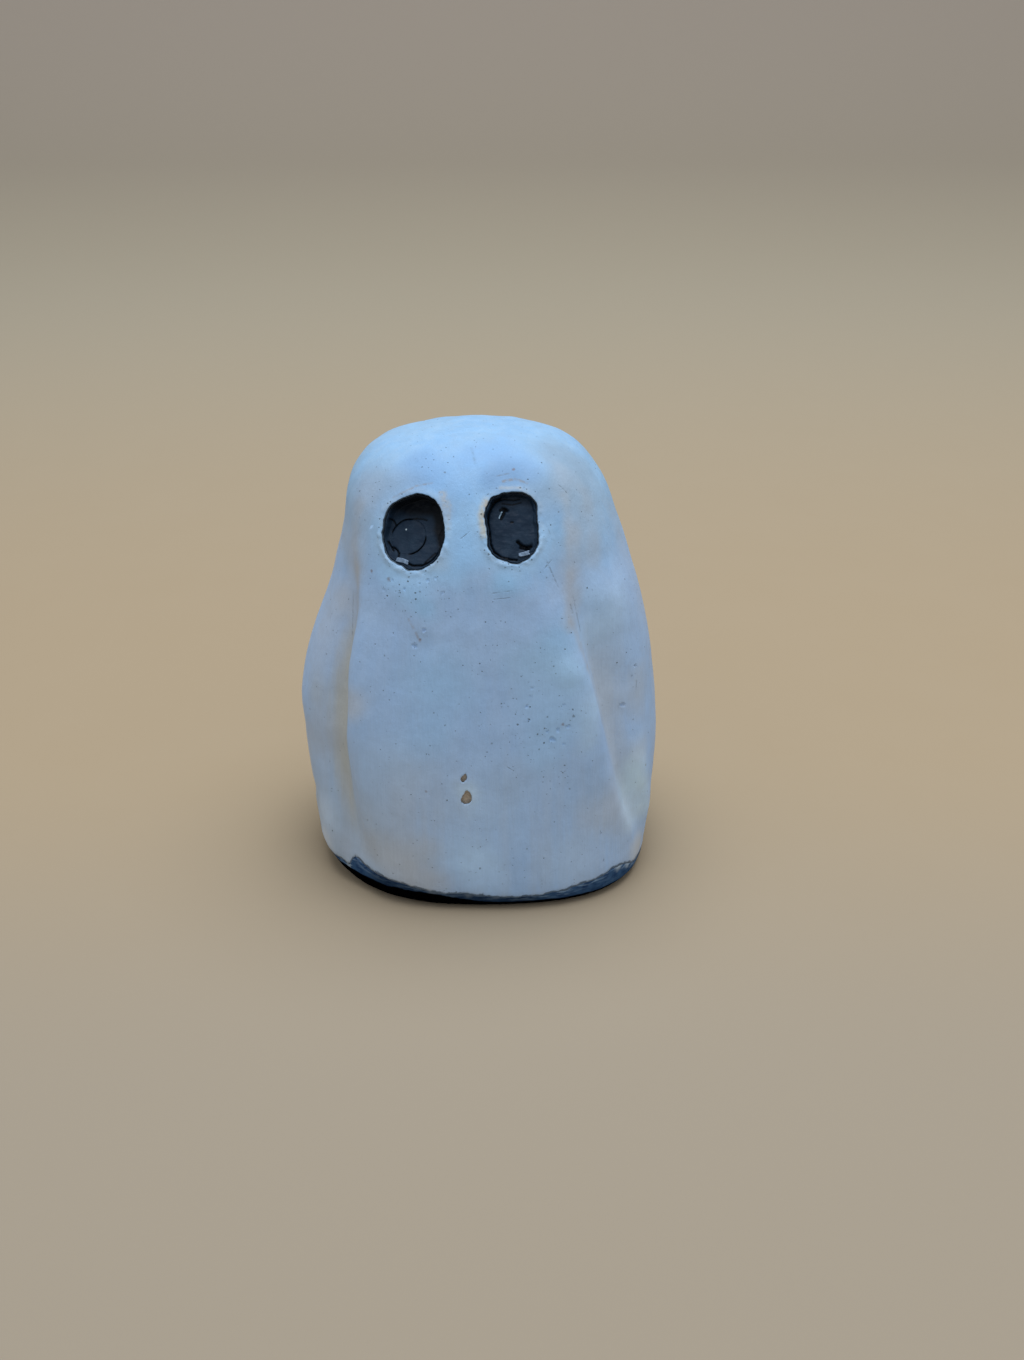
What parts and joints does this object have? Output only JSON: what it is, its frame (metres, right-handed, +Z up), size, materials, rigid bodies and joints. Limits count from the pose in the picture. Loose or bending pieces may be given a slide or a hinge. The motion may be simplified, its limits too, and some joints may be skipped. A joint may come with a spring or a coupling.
{
  "type": "ghost figurine",
  "caption": "Small free-standing clay ghost figurine: a sheet-draped figure with a white coat, dark pressed-in eyes and a navy painted foot.",
  "frame": {"origin": "middle of the underside of the foot, on the surface that the figurine stands on", "axes": "+Z up along the figure's longest extent, the face looks along -Y, +X to the viewer's right"},
  "size_m": [0.0601, 0.0512, 0.0752],
  "materials": {
    "clay": "matte",
    "white_coat": "matte",
    "navy_coat": "matte",
    "eye_slate": "satin",
    "coat_flake": "matte"
  },
  "bodies": {
    "root": {"clay_body": "clay", "white_coat": "white_coat", "foot_coat": "navy_coat", "left_eye": "eye_slate", "left_eye_pellet": "eye_slate", "right_eye": "eye_slate", "left_eye_flake": "coat_flake", "right_eye_flake": "coat_flake"}
  },
  "joints": []
}
